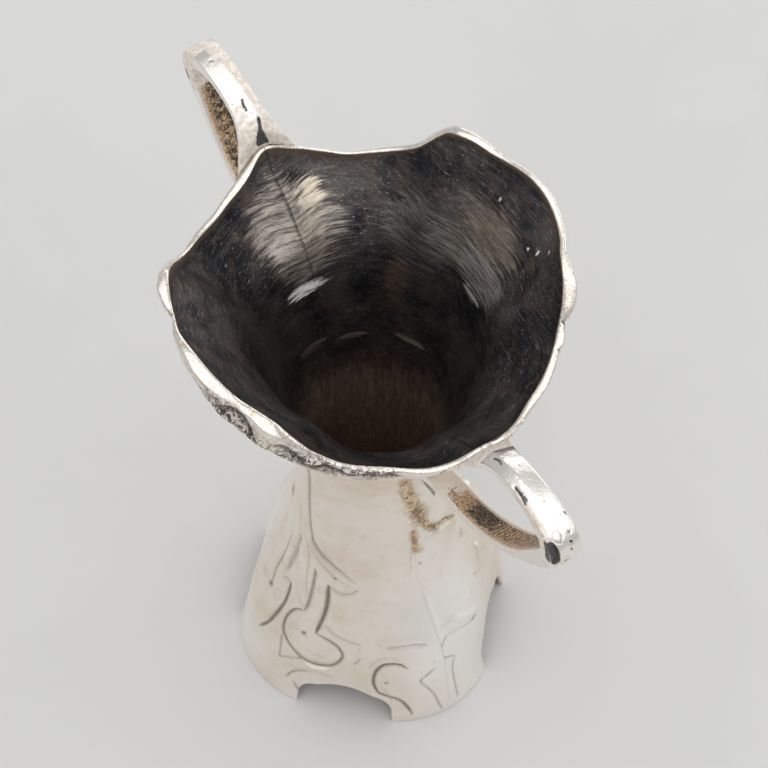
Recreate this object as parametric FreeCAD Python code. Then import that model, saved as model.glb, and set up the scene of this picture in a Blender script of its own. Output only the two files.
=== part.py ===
import FreeCAD, Part
import math
import os

# A two-handled silver vessel: wide wavy mouth, waisted neck and a four-footed skirt with an arch
# between each two feet. Lengths are in millimetres. The origin is the centre of the base, +Z is up,
# the handles lie on the X axis and the middle of each stamped half lies on the Y axis.

# ---------------------------------------------------------------- driving dimensions
WALL = 1.1                 # thickness of the stamped metal
NECK_TOP_Z = 72.0          # height where the neck begins to open into the mouth
NECK_RADIUS = 15.2         # outside radius of the neck there
RIM_HEIGHT = 124.6         # mean height of the wavy rim
MOUTH_RADIUS = 36.0        # outside radius of the rim at the middle of each half
ARCH_HALF_WIDTH = 10.3     # arch between two feet, measured across
ARCH_HEIGHT = 9.0          # top of the arch above the table
ARCH_SHOULDER = 7.4        # height where the arch's crown meets its corners
ARCH_CORNER = 3.8          # radius of those corners
DISC_Z = 10.2              # underside of the disc that closes the vessel
DISC_THICKNESS = 1.0
CLEAR_ABOVE = 20.0         # how far trimming solids reach past the rim

# Skirt and neck: height, radius over a foot, radius over an arch.
SKIRT_PROFILE = [
    (0.0, 31.1, 28.9),
    (6.0, 30.6, 26.9),
    (15.0, 29.2, 25.2),
    (24.0, 27.0, 22.8),
    (30.0, 23.6, 20.4),
    (36.0, 19.9, 18.3),
    (43.0, 17.7, 16.8),
    (52.0, 16.3, 15.9),
    (NECK_TOP_Z, NECK_RADIUS, NECK_RADIUS),
]

# Mouth: part of the height from the neck to the rim, part of the widening reached there.
MOUTH_PROFILE = [
    (0.0, 0.0),
    (0.28, 0.13),
    (0.54, 0.29),
    (0.71, 0.47),
    (0.85, 0.76),
    (0.94, 0.93),
    (1.0, 1.0),
]

# Rim over a quarter turn: degrees from the handle plane, then how far its radius and its height
# lie over MOUTH_RADIUS and RIM_HEIGHT.
RIM_WAVE = [
    (0.0, 1.6, -1.7),
    (8.0, 0.8, -4.0),
    (15.0, 0.0, -5.5),
    (25.0, -1.1, -5.9),
    (38.0, -0.9, -4.5),
    (46.0, -0.9, -2.1),
    (52.0, -0.5, 1.6),
    (59.0, -0.3, 4.9),
    (75.0, -0.3, 5.1),
    (90.0, 0.0, 6.7),
]

SKIRT_ROWS = 14            # section rows from the table to the top of the neck
MOUTH_ROWS = 12            # section rows from the top of the neck to the rim
TURN_STEPS = 36            # points along half a turn
STEP = 0.001               # small step along a surface, for its normal

# Handle from the lip out to the tip and back to the neck:
# x and z of the middle, width, thickness, and how far the side edges droop.
HANDLE_STATIONS = [
    (34.6, 120.6, 15.0, 1.3, 2.2),
    (37.4, 122.6, 11.4, 1.5, 1.3),
    (40.4, 125.1, 8.2, 1.9, 0.4),
    (43.9, 127.4, 6.2, 2.2, 0.0),
    (48.7, 128.8, 5.6, 2.4, 0.0),
    (54.1, 129.0, 5.6, 2.5, 0.0),
    (58.9, 128.2, 5.8, 2.7, 0.0),
    (62.5, 126.4, 6.1, 2.9, 0.0),
    (63.8, 123.6, 6.3, 3.0, 0.0),
    (62.8, 120.6, 6.3, 2.9, 0.0),
    (59.6, 116.2, 6.2, 2.7, 0.0),
    (54.7, 110.2, 6.0, 2.5, 0.0),
    (49.4, 105.0, 5.8, 2.3, 0.0),
    (43.3, 100.6, 5.5, 2.2, 0.0),
    (37.0, 97.4, 5.2, 2.3, 0.0),
    (30.8, 95.2, 5.0, 2.5, 0.0),
    (25.0, 92.6, 5.0, 2.8, 0.0),
    (19.8, 89.2, 5.4, 3.0, 0.0),
    (14.2, 84.6, 6.4, 3.2, 0.0),
]
RIDGE_SHARE = 0.10         # height of the strap's side edges above its middle, in thicknesses
RIGHT_TIP_LIFT = 2.6       # how far the right handle's tip stands above the stations
LEFT_TIP_LIFT = 1.6        # and the left one's, as the two were soldered on by hand
LIFT_FROM_X = 30.0         # the lift grows from nothing here
LIFT_TO_X = 63.0           # to its whole amount here


def through(stations, column, at):
    """Smooth value at a place, through stations whose first number is the place."""
    places = [station[0] for station in stations]
    values = [station[column] for station in stations]
    last = len(places) - 1
    slopes = [0.0] * (last + 1)
    for i in range(1, last):
        slopes[i] = (values[i + 1] - values[i - 1]) / (places[i + 1] - places[i - 1])
    i = 0
    while i < last - 1 and at > places[i + 1]:
        i += 1
    span = places[i + 1] - places[i]
    t = (at - places[i]) / span
    rise = values[i] * (1 + 2 * t) * (1 - t) ** 2 + values[i + 1] * t * t * (3 - 2 * t)
    lean = slopes[i] * t * (1 - t) ** 2 - slopes[i + 1] * t * t * (1 - t)
    return rise + span * lean


def rim_angle(turn):
    """Degrees from the handle plane, 0 to 90, for a direction in radians."""
    return math.degrees(math.acos(min(1.0, abs(math.cos(turn)))))


def outside(turn, level):
    """Point of the outer surface. Level runs 0 to 1 up the skirt and neck, and 1 to 2 up the mouth."""
    if level <= 1.0:
        height = level * NECK_TOP_Z
        over_foot = through(SKIRT_PROFILE, 1, height)
        over_arch = through(SKIRT_PROFILE, 2, height)
        radius = (over_foot + over_arch) / 2 + (over_foot - over_arch) / 2 * math.cos(4 * turn)
    else:
        share = level - 1.0
        angle = rim_angle(turn)
        rim_radius = MOUTH_RADIUS + through(RIM_WAVE, 1, angle)
        rim_height = RIM_HEIGHT + through(RIM_WAVE, 2, angle)
        height = NECK_TOP_Z + share * (rim_height - NECK_TOP_Z)
        radius = NECK_RADIUS + through(MOUTH_PROFILE, 1, share) * (rim_radius - NECK_RADIUS)
    return FreeCAD.Vector(radius * math.cos(turn), radius * math.sin(turn), height)


def in_wall(turn, level, depth):
    """Point that lies a depth in from the outer surface, along its normal."""
    along_turn = outside(turn + STEP, level) - outside(turn - STEP, level)
    up = outside(turn, min(2.0, level + STEP)) - outside(turn, max(0.0, level - STEP))
    normal = along_turn.cross(up).normalize()
    point = outside(turn, level) - normal * depth
    if level == 0.0:
        point.z = 0.0
    return point


def half_turn_points(level, depth):
    """Points round half a turn, whose first and last lie in the XZ plane."""
    points = [in_wall(math.pi * step / TURN_STEPS, level, depth) for step in range(TURN_STEPS + 1)]
    points[0].y = 0.0
    points[-1].y = 0.0
    return points


def skin(depth):
    """Surface over half a turn at one depth in the wall."""
    levels = [row / SKIRT_ROWS for row in range(SKIRT_ROWS)]
    levels += [1.0 + row / MOUTH_ROWS for row in range(MOUTH_ROWS + 1)]
    surface = Part.BSplineSurface()
    surface.interpolate([half_turn_points(level, depth) for level in levels])
    return surface


def borders(surface):
    """Edges of a skin: round the base, round the rim, and up the two ends."""
    base_u, rim_u, start_v, end_v = surface.bounds()
    curves = [surface.uIso(base_u), surface.uIso(rim_u), surface.vIso(start_v), surface.vIso(end_v)]
    return [curve.toShape() for curve in curves]


def solid_of(faces):
    """Closed solid from faces that meet edge to edge."""
    shell = Part.makeShell(faces)
    shell.sewShape()
    solid = Part.Solid(Part.Shell(shell.Faces))
    if solid.Volume < 0:
        solid.reverse()
    return solid


def line_between(edge_a, edge_b, end):
    """Straight edge from one end of an edge to the same end of another."""
    return Part.makeLine(edge_a.Vertexes[end].Point, edge_b.Vertexes[end].Point)


def arch_cutter(direction):
    """Bar with the outline of the arch between two feet, laid along one diagonal."""
    v = FreeCAD.Vector
    side = ARCH_HALF_WIDTH
    spring = ARCH_SHOULDER - ARCH_CORNER
    bend = ARCH_CORNER * (1 - math.sqrt(0.5))
    left_corner = [
        v(0, -side, spring),
        v(0, bend - side, ARCH_SHOULDER - bend),
        v(0, ARCH_CORNER - side, ARCH_SHOULDER),
    ]
    right_corner = [v(0, -point.y, point.z) for point in reversed(left_corner)]
    below = -WALL
    curves = [
        Part.LineSegment(v(0, -side, below), left_corner[0]),
        Part.Arc(*left_corner),
        Part.Arc(left_corner[2], v(0, 0, ARCH_HEIGHT), right_corner[0]),
        Part.Arc(*right_corner),
        Part.LineSegment(right_corner[2], v(0, side, below)),
        Part.LineSegment(v(0, side, below), v(0, -side, below)),
    ]
    outline = Part.Wire([curve.toShape() for curve in curves])
    bar = Part.Face(outline).extrude(v(MOUTH_RADIUS, 0, 0))
    bar.translate(v(NECK_RADIUS, 0, 0))
    bar.rotate(v(0, 0, 0), v(0, 0, 1), direction)
    return bar


def back_half():
    """Stamped half of the body on the +Y side."""
    outer = skin(0.0)
    inner = skin(WALL)
    outer_base, outer_rim, outer_start, outer_end = borders(outer)
    inner_base, inner_rim, inner_start, inner_end = borders(inner)
    faces = [outer.toShape(), inner.toShape(), Part.makeRuledSurface(outer_rim, inner_rim)]
    flat_pairs = [(outer_base, inner_base), (outer_start, inner_start), (outer_end, inner_end)]
    for outer_edge, inner_edge in flat_pairs:
        first = line_between(outer_edge, inner_edge, 0)
        last = line_between(outer_edge, inner_edge, -1)
        faces.append(Part.Face(Part.Wire(Part.__sortEdges__([outer_edge, first, inner_edge, last]))))
    return solid_of(faces).cut(arch_cutter(45)).cut(arch_cutter(135))


def back_core():
    """All that lies inside the middle of the wall on the +Y side, carried straight up past the rim."""
    middle = skin(WALL / 2)
    base, rim, start, end = borders(middle)
    raised_points = half_turn_points(2.0, WALL / 2)
    for point in raised_points:
        point.z = RIM_HEIGHT + CLEAR_ABOVE
    raised_curve = Part.BSplineCurve()
    raised_curve.interpolate(raised_points)
    raised = raised_curve.toShape()
    base_line = Part.makeLine(base.Vertexes[0].Point, base.Vertexes[-1].Point)
    top_line = Part.makeLine(raised.Vertexes[0].Point, raised.Vertexes[-1].Point)
    first_rise = line_between(rim, raised, 0)
    last_rise = line_between(rim, raised, -1)
    loop = Part.__sortEdges__([base_line, start, first_rise, top_line, last_rise, end])
    faces = [
        middle.toShape(),
        Part.makeRuledSurface(rim, raised),
        Part.Face(Part.Wire([base, base_line])),
        Part.Face(Part.Wire([raised, top_line])),
        Part.Face(Part.Wire(loop)),
    ]
    return solid_of(faces)


def turned(shape):
    """The same shape half a turn round the vessel."""
    copy = shape.copy()
    copy.rotate(FreeCAD.Vector(0, 0, 0), FreeCAD.Vector(0, 0, 1), 180)
    return copy


def disc(halves):
    """Plate that fills the inside of the skirt just above the arches."""
    plate = Part.makeCylinder(MOUTH_RADIUS, DISC_THICKNESS, FreeCAD.Vector(0, 0, DISC_Z))
    middle = FreeCAD.Vector(0, 0, DISC_Z + DISC_THICKNESS / 2)
    pieces = plate.cut(halves[0]).cut(halves[1]).Solids
    return next(piece for piece in pieces if piece.isInside(middle, STEP, False))


def handle_section(centre, ahead, width, thickness, droop):
    """Five corners of the strap: two below, two at the sides and the ridge on its outer face."""
    out = FreeCAD.Vector(-ahead.z, 0, ahead.x)
    side = FreeCAD.Vector(0, width / 2, 0)
    low = out * (-thickness / 2 - droop)
    edge = out * (thickness * RIDGE_SHARE - droop)
    ridge = out * (thickness / 2)
    return [
        centre - side + low,
        centre - side + edge,
        centre + ridge,
        centre + side + edge,
        centre + side + low,
    ]


def lifted(x, z, tip_lift):
    """Middle of a handle station, raised by its share of the tip's lift."""
    share = min(1.0, max(0.0, (x - LIFT_FROM_X) / (LIFT_TO_X - LIFT_FROM_X)))
    return FreeCAD.Vector(x, 0, z + tip_lift * share * share * (3 - 2 * share))


def handle(trimmers, tip_lift):
    """Cast strap handle on the +X side, cut off where it meets the outside of the wall."""
    middles = [lifted(station[0], station[1], tip_lift) for station in HANDLE_STATIONS]
    spine = Part.BSplineCurve()
    spine.interpolate(middles)
    sections = []
    for middle, station in zip(middles, HANDLE_STATIONS):
        ahead = spine.tangent(spine.parameter(middle))[0]
        sections.append(handle_section(middle, ahead, *station[2:]))
    edges = []
    for corner in zip(*sections):
        curve = Part.BSplineCurve()
        curve.interpolate(list(corner))
        edges.append(curve.toShape())
    faces = []
    for edge, next_edge in zip(edges, edges[1:] + edges[:1]):
        faces.append(Part.makeRuledSurface(edge, next_edge, 1))
    for section in (sections[0], sections[-1]):
        faces.append(Part.Face(Part.makePolygon(section + section[:1])))
    solid = solid_of(faces)
    for trimmer in trimmers:
        solid = solid.cut(trimmer)
    return max(solid.Solids, key=lambda piece: piece.Volume)


def write(shape, node):
    if not shape.isValid():
        raise ValueError(node + " is not valid")
    print(node, "volume", round(shape.Volume, 1), "solids", len(shape.Solids))
    shape.exportStep("parts/" + node + ".step")


os.makedirs("parts", exist_ok=True)
back = back_half()
front = turned(back)
core = back_core()
body = [core, turned(core), front, back]
write(front, "body_front_half")
write(back, "body_back_half")
write(disc([front, back]), "base_disc")
write(handle(body, RIGHT_TIP_LIFT), "handle_right")
write(turned(handle(body, LEFT_TIP_LIFT)), "handle_left")
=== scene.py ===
import math
import bpy
import numpy as np
from mathutils import Matrix, Vector


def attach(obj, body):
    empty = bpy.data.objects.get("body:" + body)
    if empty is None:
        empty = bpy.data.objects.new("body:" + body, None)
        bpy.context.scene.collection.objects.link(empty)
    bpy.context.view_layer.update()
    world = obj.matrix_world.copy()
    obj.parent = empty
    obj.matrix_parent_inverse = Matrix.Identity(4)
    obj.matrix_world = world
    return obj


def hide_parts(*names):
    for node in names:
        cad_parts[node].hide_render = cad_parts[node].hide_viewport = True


# A two-handled silver vessel with whiplash relief, seen from above. Shapes are worked out in
# millimetres in the CAD frame, with the base centre at the origin, the handles on the X axis and
# the middle of each stamped half on the Y axis. add_piece() turns them into metres. The sizes and
# places in the lists below are fitted one by one.

MM = 0.001
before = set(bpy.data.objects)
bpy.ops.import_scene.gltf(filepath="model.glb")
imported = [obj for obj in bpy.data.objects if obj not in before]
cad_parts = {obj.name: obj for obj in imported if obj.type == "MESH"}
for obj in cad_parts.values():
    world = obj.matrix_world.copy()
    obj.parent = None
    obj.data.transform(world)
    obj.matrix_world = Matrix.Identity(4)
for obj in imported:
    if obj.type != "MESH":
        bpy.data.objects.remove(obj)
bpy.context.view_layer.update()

# ---------------------------------------------------------------- sizes shared with the CAD part
WALL = 1.1                 # thickness of the stamped metal
NECK_TOP_Z = 72.0          # height where the neck begins to open into the mouth
NECK_RADIUS = 15.2
RIM_HEIGHT = 124.6         # mean height of the wavy rim
MOUTH_RADIUS = 36.0
ARCH_HALF_WIDTH = 10.3     # arch between two feet, along the wall
ARCH_HEIGHT = 9.0
ARCH_SHOULDER = 7.4
ARCH_CORNER = 3.8
ARCH_WALL_RADIUS = 28.2    # radius of the wall beside an arch
DISC_Z = 10.2
DISC_THICKNESS = 1.0
HALF_MIDDLE = -math.pi / 2  # direction of the middle of the front half

# Height, radius over a foot, radius over an arch.
SKIRT_PROFILE = [
    (0.0, 31.1, 28.9),
    (6.0, 30.6, 26.9),
    (15.0, 29.2, 25.2),
    (24.0, 27.0, 22.8),
    (30.0, 23.6, 20.4),
    (36.0, 19.9, 18.3),
    (43.0, 17.7, 16.8),
    (52.0, 16.3, 15.9),
    (NECK_TOP_Z, NECK_RADIUS, NECK_RADIUS),
]

# Part of the height from the neck to the rim, part of the widening reached there.
MOUTH_PROFILE = [
    (0.0, 0.0),
    (0.28, 0.13),
    (0.54, 0.29),
    (0.71, 0.47),
    (0.85, 0.76),
    (0.94, 0.93),
    (1.0, 1.0),
]

# Degrees from the handle plane, radius over MOUTH_RADIUS, height over RIM_HEIGHT.
RIM_WAVE = [
    (0.0, 1.6, -1.7),
    (8.0, 0.8, -4.0),
    (15.0, 0.0, -5.5),
    (25.0, -1.1, -5.9),
    (38.0, -0.9, -4.5),
    (46.0, -0.9, -2.1),
    (52.0, -0.5, 1.6),
    (59.0, -0.3, 4.9),
    (75.0, -0.3, 5.1),
    (90.0, 0.0, 6.7),
]

# Handle from the lip out to the tip and back to the neck:
# x and z of the middle, width, thickness, and how far the side edges droop.
HANDLE_STATIONS = [
    (34.6, 120.6, 15.0, 1.3, 2.2),
    (37.4, 122.6, 11.4, 1.5, 1.3),
    (40.4, 125.1, 8.2, 1.9, 0.4),
    (43.9, 127.4, 6.2, 2.2, 0.0),
    (48.7, 128.8, 5.6, 2.4, 0.0),
    (54.1, 129.0, 5.6, 2.5, 0.0),
    (58.9, 128.2, 5.8, 2.7, 0.0),
    (62.5, 126.4, 6.1, 2.9, 0.0),
    (63.8, 123.6, 6.3, 3.0, 0.0),
    (62.8, 120.6, 6.3, 2.9, 0.0),
    (59.6, 116.2, 6.2, 2.7, 0.0),
    (54.7, 110.2, 6.0, 2.5, 0.0),
    (49.4, 105.0, 5.8, 2.3, 0.0),
    (43.3, 100.6, 5.5, 2.2, 0.0),
    (37.0, 97.4, 5.2, 2.3, 0.0),
    (30.8, 95.2, 5.0, 2.5, 0.0),
    (25.0, 92.6, 5.0, 2.8, 0.0),
    (19.8, 89.2, 5.4, 3.0, 0.0),
    (14.2, 84.6, 6.4, 3.2, 0.0),
]
RIDGE_SHARE = 0.10         # height of the strap's side edges above its middle, in thicknesses
# How far each handle's tip stands above the stations. The left one is lower than in the CAD part.
RIGHT_TIP_LIFT = 2.6
LEFT_TIP_LIFT = 0.4
LIFT_FROM_X = 30.0         # the lift grows from nothing here
LIFT_TO_X = 63.0           # to its whole amount here

# ---------------------------------------------------------------- mesh density
# Degrees from the middle of a half where a zone of columns ends, and the columns in it.
COLUMN_ZONES = [(-78, 26), (-34, 64), (-20, 26), (62, 172), (90, 50)]
LOW_ROWS = 34              # rows from the foot line up to LOW_TOP_Z
LOW_TOP_Z = 16.0
LOW_CROWDING = 1.5         # how strongly those rows crowd towards the foot line
ARCH_SIDE_GAPS = [-0.05, 0.05, 0.25, 0.5, 0.8]          # degrees from an arch's side to extra columns
SKIRT_ZONES = [(52.0, 92), (NECK_TOP_Z, 22)]            # height where a zone ends, rows in it
MOUTH_ZONES = [(0.62, 12), (0.84, 12), (1.0, 42)]       # share where a zone ends, rows in it
INNER_COLUMNS = 150
INNER_LOW_ROWS = 9
INNER_SKIRT_ZONES = [(NECK_TOP_Z, 24)]
INNER_MOUTH_ZONES = [(0.8, 28), (1.0, 18)]
STEP = 0.001               # small step along a surface, for its normal
EDGE_ROUND = 0.45          # rounding of the sheet's lower edge
CROWN_ROWS = [0.05, 0.14, 0.28, 0.5, 0.72, 0.86, 0.95]  # shares of the way over the lip
CROWN_HEIGHT = 0.32        # how far the lip's rounded top stands above its edges

# ---------------------------------------------------------------- relief of one stamped half
# Chased lines on the skirt and neck: width, depth, darkness and points, each in degrees from the
# middle of the half and height above the table.
CHASED_LINES = [
    # the stem's two edges, and the right one's long sweep outward
    (0.50, 0.35, 0.60, [(5, 122), (5, 95), (5, 74), (5, 62), (6.5, 54.5), (9.5, 50), (13, 48.3), (20, 46.4),
                        (29, 44.6), (40, 42.3), (47, 40.6)]),
    (0.45, 0.25, 0.40, [(-6, 122), (-7, 95), (-7, 72), (-7, 58), (-6, 50), (-3, 46)]),
    # wide shadowed cut beside the left leaf
    (1.00, 0.55, 0.50, [(-2, 46), (-2, 41), (-2.5, 37), (-2, 34.5)]),
    # inner lines of the right leaf, and the leaf's lower edge
    (0.45, 0.30, 0.50, [(5, 47), (12, 45), (20, 43.1), (27, 41.6), (31, 40.3)]),
    (0.45, 0.25, 0.40, [(5, 47), (9, 43.6), (12.7, 36.6), (19, 31.9)]),
    (0.45, 0.30, 0.50, [(28, 37.5), (36, 36.2), (42, 36.5), (46, 37.3), (49, 38.5)]),
    # stroke down to the loop, and the heavy one beside it
    (0.60, 0.45, 0.65, [(17, 40.4), (17.8, 37), (19.3, 31.9), (19.3, 29.5)]),
    (0.60, 0.50, 0.85, [(28, 37.5), (29.5, 34), (30, 31), (29.3, 28), (28, 24.8)]),
    # the loop
    (0.52, 0.40, 0.75, [(19.3, 29.5), (15, 29), (12.3, 27.2), (12, 24.4), (13.6, 21.6), (21, 16.9), (29, 15),
                        (38, 15.5), (42.7, 18.8), (40, 21.6), (34, 23.4), (28, 24.8)]),
    # line beside the loop
    (0.42, 0.28, 0.50, [(31, 27.5), (38, 25.1), (45, 24.1), (53, 23.6)]),
    # small box under the loop
    (0.42, 0.28, 0.60, [(12.7, 21), (13.2, 17), (13.5, 13.1)]),
    (0.42, 0.28, 0.60, [(13.5, 13.1), (17.7, 14.5), (26, 16)]),
    # left leaves
    (0.55, 0.45, 0.80, [(5, 33.3), (7, 30.5), (7.4, 28), (6, 24), (4, 21), (0, 17.3)]),
    (0.55, 0.32, 0.55, [(-14, 42), (-12, 37), (-9, 32), (-4, 29)]),
    (0.42, 0.22, 0.45, [(-1, 32.6), (2, 33.3), (5, 33.3)]),
    (0.40, 0.18, 0.35, [(8, 34), (12, 32.8), (17, 30.6), (19.3, 29.5)]),
    (0.40, 0.15, 0.30, [(-28, 33), (-20, 36), (-14, 38)]),
    # short marks over the left foot
    (0.50, 0.32, 0.60, [(18, 7), (20, 9.3), (23, 10.8), (27, 11.6)]),
    (0.55, 0.30, 0.60, [(21.4, 6.1), (23.8, 3.8)]),
    # short stroke beside the loop's end, and the line over the right foot
    (0.45, 0.28, 0.50, [(49, 17.4), (52, 19.7)]),
    (0.42, 0.25, 0.55, [(64.5, 24.8), (72.7, 25.8), (79, 26.1), (85, 25.5)]),
    # scroll over the right foot
    (0.55, 0.45, 0.85, [(74.3, 19.3), (71, 20.3), (67, 20.2), (63, 19.2), (59.5, 16.5), (58.3, 13), (60, 9.8),
                        (63, 8.9), (67, 8.4), (70.5, 7.2), (73, 4.8), (74.5, 2.6)]),
    (0.40, 0.18, 0.35, [(56, 17.2), (60, 20.2), (65, 22), (71, 21.9)]),
    # zigzag beside the corner ridge, on either side of it
    (0.45, 0.35, 0.60, [(86.5, 18.2), (83, 16.6), (79, 14.6), (81, 12.4), (84, 9), (86, 4), (87.5, 1)]),
    (0.45, 0.32, 0.55, [(-85.4, 25.5), (-90.3, 23.7), (-89.4, 20.6), (-83.4, 17.9)]),
    (0.45, 0.32, 0.55, [(-83.4, 17.9), (-85.4, 15.8), (-86, 12), (-85, 2.4)]),
    # line over the next foot's panel, darker near its end
    (0.42, 0.25, 0.40, [(-85.4, 25.5), (-78.6, 24.3), (-70, 21.2), (-61, 18.2)]),
    (0.55, 0.30, 0.75, [(-67.5, 20.4), (-62.5, 18.8)]),
    # along the upper edge of the leaf that sweeps out from the handle's lower root
    (0.50, 0.40, 0.65, [(-81.4, 59.5), (-76, 54.6), (-67, 52), (-54, 49), (-36, 41.5)]),
    # cut beside the handle's lower root
    (0.50, 0.45, 0.85, [(-81, 75.5), (-75, 70.5), (-70, 67), (-65.5, 63.2)]),
    (0.60, 0.20, 0.30, [(88, 51), (86.5, 47), (85, 43)]),
    (0.45, 0.20, 0.50, [(-50, 25.2), (-46.6, 24.6)]),
]
# The open seam, given at the right-hand seam of the half and cut at both.
GAPING_SEAM = (0.80, 0.40, 0.65, [(90.5, 57), (91, 54), (91, 50)])

# Round punched marks: angle, height, radius, depth, darkness.
PUNCHED_DOTS = [
    (32, 40.2, 0.55, 0.40, 0.85),
    (-4.8, 28.9, 0.70, 0.45, 0.85),
    (22.5, 23.9, 0.70, 0.45, 0.80),
    (24, 23.0, 0.50, 0.20, 0.40),
    (64.5, 14.2, 0.60, 0.35, 0.65),
    (-37.4, 34.6, 1.60, 0.50, 0.45),
    (-87, 44.6, 0.60, 0.30, 0.60),
]

STROKE_SWELL = 1.35        # how much higher than their own heights the raised strokes stand
# Raised, softly rounded strokes: half-width, height before swelling, points.
RAISED_STROKES = [
    (1.7, 0.45, [(-1, 124), (-1, 95), (-1, 72), (0, 58), (1, 50)]),
    (1.0, 0.45, [(4, 50), (12, 47.2), (24, 44.4), (36, 41.6), (47, 39.4)]),
    (0.8, 0.45, [(0, 46), (4, 41), (8, 36), (13, 32)]),
    (1.2, 0.60, [(24, 37), (25, 32), (24.5, 27)]),
    (1.1, 0.50, [(17, 26.5), (17, 22.5), (24, 18.9), (33, 17.4), (38.5, 18.8)]),
    (0.9, 0.45, [(-6, 44), (-6, 39), (-4.5, 35)]),
    (0.9, 0.50, [(1, 30), (3.5, 27), (2, 22)]),
    (0.8, 0.45, [(-25, 25.6), (-16, 27.6), (-9, 28.3), (-4, 30.5)]),
    (1.0, 0.40, [(66, 17.2), (63.5, 14), (65.5, 11.2), (70, 9.6)]),
    (0.9, 0.55, [(-88, 46), (-82, 51), (-75, 52.2), (-66, 49.8), (-54, 46.8), (-38, 39.6)]),
    (0.9, 0.50, [(-32, 28.5), (-38, 26), (-44.3, 23)]),
    (0.9, 0.35, [(-84, 27.4), (-77, 26.4), (-69, 23.4), (-60, 20)]),
    (1.0, 0.45, [(17, 12.6), (24, 13.4), (32, 13.6), (40, 12.6)]),
]
# The ridge down the seam, given at the right-hand seam of the half and raised at both.
CORNER_RIDGE = (1.1, 0.50, [(90, 40), (90, 30), (90, 24), (90, 12), (90, 2)])

# The cast lip of each half, in degrees from the middle of the half and millimetres out from the
# plain rim: its inner edge, its outer edge, and how far the leafwork below stands out.
FRONT_LIP = [
    (-90, 0.3, 1.2, 0.6),
    (-86, -0.2, 1.0, 0.6),
    (-80, -0.8, 0.9, 0.9),
    (-70, -0.4, 1.0, 1.0),
    (-60, -0.1, 1.2, 1.6),
    (-50, 0.0, 1.0, 1.2),
    (-45, 0.4, 1.4, 1.8),
    (-35, 0.2, 1.7, 2.0),
    (-30, 0.2, 2.0, 2.4),
    (-26, 0.1, 2.3, 2.6),
    (-20, 0.0, 1.3, 1.6),
    (-16, -0.1, 0.5, 0.6),
    (-11, 0.0, 1.1, 1.5),
    (-5, -0.4, 1.2, 2.0),
    (0, -0.7, 1.3, 2.2),
    (6, -0.9, 1.5, 2.4),
    (12, -1.0, 1.2, 3.0),
    (18, -1.0, 0.7, 3.3),
    (24, -1.0, 0.9, 3.6),
    (30, -0.8, 1.8, 4.0),
    (35, -0.6, 1.6, 3.7),
    (40, -0.6, 0.8, 2.9),
    (46, -0.8, 0.2, 2.1),
    (54, -1.0, 0.2, 1.6),
    (62, -1.0, 0.3, 1.3),
    (68, -0.7, 0.3, 1.0),
    (75, -0.3, 0.9, 1.2),
    (82, 0.0, 1.3, 1.0),
    (90, -0.1, 1.1, 0.6),
]
BACK_LIP = [
    (-90, -0.1, 1.1, 0.6),
    (-80, -0.1, 1.1, 1.2),
    (-70, -0.2, 1.2, 1.2),
    (-60, -0.1, 1.5, 1.6),
    (-55, -0.3, 1.2, 1.4),
    (-50, -0.4, 0.9, 1.1),
    (-46, -0.4, 1.3, 1.6),
    (-42, -0.5, 0.7, 0.9),
    (-39, -0.6, 1.7, 2.0),
    (-34, -0.9, 1.6, 2.0),
    (-29, -1.2, 0.5, 0.8),
    (-24, -1.1, 0.1, 0.3),
    (-19, -0.5, 0.7, 0.9),
    (-13, -0.1, 1.1, 1.3),
    (-6, -0.2, 1.2, 1.8),
    (0, -0.6, 0.6, 2.8),
    (8, -0.7, 0.4, 3.0),
    (14, -0.8, 0.3, 2.2),
    (19, -1.0, 0.5, 1.4),
    (25, -0.9, 0.9, 3.0),
    (31, -0.8, 1.2, 3.2),
    (35, 0.0, 1.7, 2.6),
    (39, -0.6, 1.3, 1.8),
    (44, -0.8, 0.6, 1.0),
    (52, -0.7, 0.5, 0.6),
    (60, -0.4, 0.4, 0.4),
    (68, -0.1, 0.6, 0.6),
    (74, 0.4, 1.1, 1.0),
    (80, 0.7, 1.5, 0.9),
    (90, 0.3, 1.2, 0.6),
]
LEAFWORK_FROM = 2.4        # distance below the lip where the leafwork stands out fully,
LEAFWORK_TO = 4.4          # down to here,
LEAFWORK_END = 8.5         # and where it has died away
LIP_REACH = 9.0            # how far down the inside follows the lip's inner edge

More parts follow.
